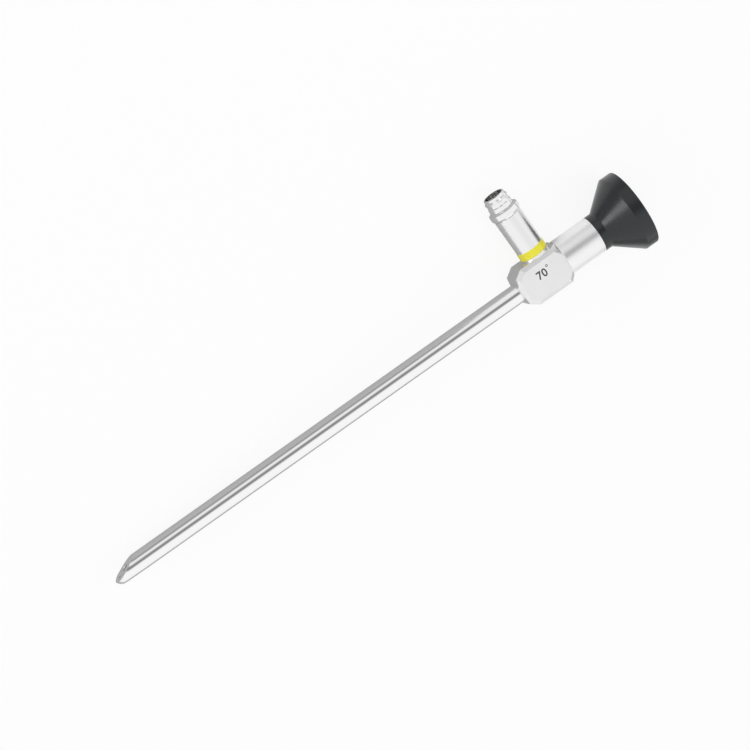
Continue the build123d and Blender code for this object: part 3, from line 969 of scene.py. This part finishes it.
class RayKind(Enum):
    """The rays that a background answers in its own way."""

    CAMERA = "Is Camera Ray"
    GLOSSY = "Is Glossy Ray"
    TRANSMISSION = "Is Transmission Ray"


@dataclass(frozen=True)
class SoftLamp:
    """A square lamp that hangs in the frame's axes and faces the origin."""

    name: str
    place: tuple[float, float, float]
    size: float
    power: float


@dataclass(frozen=True)
class SoftCard:
    """A square lamp that steel mirrors, placed from the sleeve in the instrument's axes."""

    name: str
    way: tuple[float, float, float]
    distance: float
    size: float
    power: float


@dataclass
class Studio:
    """White table, soft sky with two dark flags, soft lamps and the camera.

    Directions are given along, across and outward. The flags and the dark patch of the table
    show only in what the steel mirrors. Angles of the sky's bands turn about the shaft from the
    camera, in degrees towards the light post.
    """

    axes: InstrumentAxes

    # Camera, in millimetres, with its clipping in metres
    lens: float = 600.0
    sensor: float = 36.0
    clip: tuple[float, float] = (0.05, 50.0)
    frame_width: float = 286.06
    aim: tuple[float, float] = (-64.14, 6.28)
    up: tuple[float, float, float] = (0.5666, 0.8179, -0.0996)
    toward: tuple[float, float, float] = (-0.19, 0.2473, 0.9501)

    # Table, with its side in metres
    floor_size: float = 12.0
    floor_tone: float = 0.9
    floor_roughness: float = 0.9
    floor_glow: float = 0.88

    # Steel mirrors the table darker, except along a stretch by the sleeve, in millimetres
    floor_flag: float = 0.7
    flag_tone: float = 0.3
    gap_middle: float = 45.0
    gap_half: float = 15.0
    gap_fade: float = 6.0

    # Sky, and the greys that steel mirrors of it, each at its angle
    sky_level: float = 0.62
    sky_strength: float = 1.0
    bands: tuple[tuple[float, float], ...] = (
        (-120, 0.95), (-90, 1.0), (-35, 1.0), (-27, 0.96), (-20, 0.6), (-13, 0.3), (-4, 0.22),
        (5, 0.3), (12, 0.6), (19, 0.88), (31, 0.94), (38, 0.6), (45, 0.36), (60, 0.3),
        (70, 0.5), (100, 0.85), (140, 0.9))

    # Reach of those flags along the shaft, as cosines, and the grey beyond it
    flag_middle: float = 0.19
    flag_half: float = 0.3
    flag_fade: float = 0.25
    flag_surround: float = 0.95

    # Lamps and mirrored cards
    lamps: tuple[SoftLamp, ...] = (
        SoftLamp("key_lamp", (-0.5, 0.9, 1.5), 1.2, 9.0),
        SoftLamp("fill_lamp", (0.9, -0.8, 1.3), 1.4, 6.0))
    card_station: float = 30.0
    cards: tuple[SoftCard, ...] = (
        SoftCard("cup_card", (-0.86, 0.35, 0.3), 1.2, 0.35, 1.5),
        SoftCard("sleeve_card", (0.19, 0.87, 0.45), 0.28, 0.1, 0.018))

    def build(self) -> None:
        """Set the camera, the table, the sky and the lamps."""
        self._camera()
        self._table()
        self._sky()
        self._lamps()
        bpy.context.scene.view_settings.view_transform = "Standard"

    def _world_way(self, parts: tuple[float, float, float]) -> Vector:
        """Turn a direction into the frame's axes.

        Args:
            parts: The direction along, across and outward.

        Returns:
            The unit direction.
        """
        axes = self.axes
        way = axes.along * parts[0] + axes.across * parts[1] + axes.outward * parts[2]
        return way.normalized()

    def _camera(self) -> None:
        """Place the long-lens camera over the instrument."""
        data = bpy.data.cameras.new("camera")
        data.lens = self.lens
        data.sensor_width = self.sensor
        distance = self.frame_width * MM * self.lens / self.sensor
        data.clip_start, data.clip_end = self.clip
        camera = bpy.data.objects.new("camera", data)
        toward = self._world_way(self.toward)
        up = self._world_way(self.up)
        right = up.cross(toward).normalized()
        up = toward.cross(right)
        turn = Matrix((right, up, toward)).transposed().to_4x4()
        place = self.axes.spot(*self.aim) + toward * distance
        camera.matrix_world = Matrix.Translation(place) @ turn
        bpy.context.scene.collection.objects.link(camera)
        bpy.context.scene.camera = camera

    def _table(self) -> None:
        """Lay the white table under the instrument's lowest points."""
        half = self.floor_size / 2
        level = CAD_BOX[0][2]
        mesh = bpy.data.meshes.new("table")
        mesh.from_pydata([(-half, -half, level), (half, -half, level), (half, half, level),
                          (-half, half, level)], [], [(0, 1, 2, 3)])
        mesh.materials.append(self._table_material())
        table = bpy.data.objects.new("table", mesh)
        bpy.context.scene.collection.objects.link(table)

    def _table_material(self) -> bpy.types.Material:
        """Make the table's white, which steel mirrors darker, apart from a stretch by the sleeve.

        Returns:
            The material.
        """
        material, bench, shader = start_material("table_white")
        shader.inputs["Base Color"].default_value = greyed(WHITE, self.floor_tone)
        shader.inputs["Roughness"].default_value = self.floor_roughness
        shader.inputs["Specular IOR Level"].default_value = 0.0
        rays = bench.add("ShaderNodeLightPath").outputs
        seen = bench.math("MAXIMUM", rays[RayKind.CAMERA.value], rays[RayKind.TRANSMISSION.value])
        mirrored = rays[RayKind.GLOSSY.value]
        share = bench.math("ADD", bench.math("MULTIPLY", seen, self.floor_glow),
                           bench.math("MULTIPLY", mirrored, self.floor_flag), clamp=True)
        place = bench.add("ShaderNodeTexCoord").outputs["Object"]
        run = bench.vector("DOT_PRODUCT", place, self.axes.along).outputs["Value"]
        off = bench.math("ABSOLUTE", bench.math("SUBTRACT", run, self.gap_middle * MM))
        under = bench.span(off, self.gap_half * MM, (self.gap_half + self.gap_fade) * MM, 0.0, 1.0)
        dark = bench.math("MULTIPLY", mirrored, under)
        strength = bench.span(dark, 0.0, 1.0, 1.0, self.flag_tone)
        glow = bench.add("ShaderNodeEmission", Strength=strength)
        both = bench.add("ShaderNodeMixShader", Fac=share, i1=shader.outputs[0],
                         i2=glow.outputs[0])
        bench.feed(material.node_tree.nodes["Material Output"], "Surface", both.outputs[0])
        return material

    def _sky(self) -> None:
        """Light the set softly, and let metal mirror a white sky with two dark flags."""
        world = bpy.data.worlds.new("studio")
        bpy.context.scene.world = world
        world.use_nodes = True
        bench = NodeBench(world.node_tree)
        way = bench.add("ShaderNodeTexCoord").outputs["Generated"]
        toward = self._world_way((0.0, self.toward[1], self.toward[2]))
        aside = toward.cross(self.axes.along)
        near = bench.vector("DOT_PRODUCT", way, toward).outputs["Value"]
        side = bench.vector("DOT_PRODUCT", way, aside).outputs["Value"]
        turn = bench.math("ARCTAN2", side, near)
        place = bench.span(turn, -math.pi, math.pi, 0.0, 1.0)
        flags = bench.ramp(place, [((angle + 180) / 360, grey) for angle, grey in self.bands])
        run = bench.vector("DOT_PRODUCT", way, self.axes.along).outputs["Value"]
        off = bench.math("ABSOLUTE", bench.math("SUBTRACT", run, self.flag_middle))
        past = bench.span(off, self.flag_half, self.flag_half + self.flag_fade, 0.0, 1.0)
        mirrored = bench.blend_colour(past, flags, greyed(WHITE, self.flag_surround))
        rays = bench.add("ShaderNodeLightPath").outputs
        seen = bench.math("MAXIMUM", rays[RayKind.CAMERA.value], rays[RayKind.TRANSMISSION.value])
        soft = greyed(WHITE, self.sky_level)
        tone = bench.blend_colour(rays[RayKind.GLOSSY.value], soft, mirrored)
        tone = bench.blend_colour(seen, tone, greyed(WHITE, 1.0))
        background = world.node_tree.nodes["Background"]
        bench.feed(background, "Color", tone)
        background.inputs["Strength"].default_value = self.sky_strength

    def _lamps(self) -> None:
        """Hang the soft lamps, which steel doesn't mirror, and the cards, which it does."""
        for lamp in self.lamps:
            self._lamp(lamp.name, Vector(lamp.place), lamp.size, lamp.power, mirrored=False)
        middle = self.axes.spot(self.card_station)
        for card in self.cards:
            place = middle + self._world_way(card.way) * card.distance
            self._lamp(card.name, place, card.size, card.power, mirrored=True)

    def _lamp(self, name: str, place: Vector, size: float, power: float, mirrored: bool) -> None:
        """Hang one square lamp that faces the instrument.

        Args:
            name: The lamp's name.
            place: Where it hangs, from the origin.
            size: Its side in metres.
            power: Its power in watts.
            mirrored: Whether glossy surfaces show it.
        """
        data = bpy.data.lights.new(name, "AREA")
        data.size = size
        data.energy = power
        lamp = bpy.data.objects.new(name, data)
        lamp.location = place
        lamp.rotation_euler = place.to_track_quat("Z", "Y").to_euler()
        lamp.visible_glossy = mirrored
        bpy.context.scene.collection.objects.link(lamp)


# Main


def main() -> None:
    """Build the studio and dress each sub-assembly in order."""
    logging.basicConfig(level=logging.INFO)
    axes = InstrumentAxes.from_record(frame["record"])
    Studio(axes).build()
    shop = Workshop(axes)
    packing = FibrePacking(shop.material(FIBRE_GLASS))
    ShaftAssembly(shop, packing).build()
    HubAssembly(shop).build()
    LightPost(shop, packing).build()
    EyepieceAssembly(shop).build()


if __name__ == "__main__":
    main()
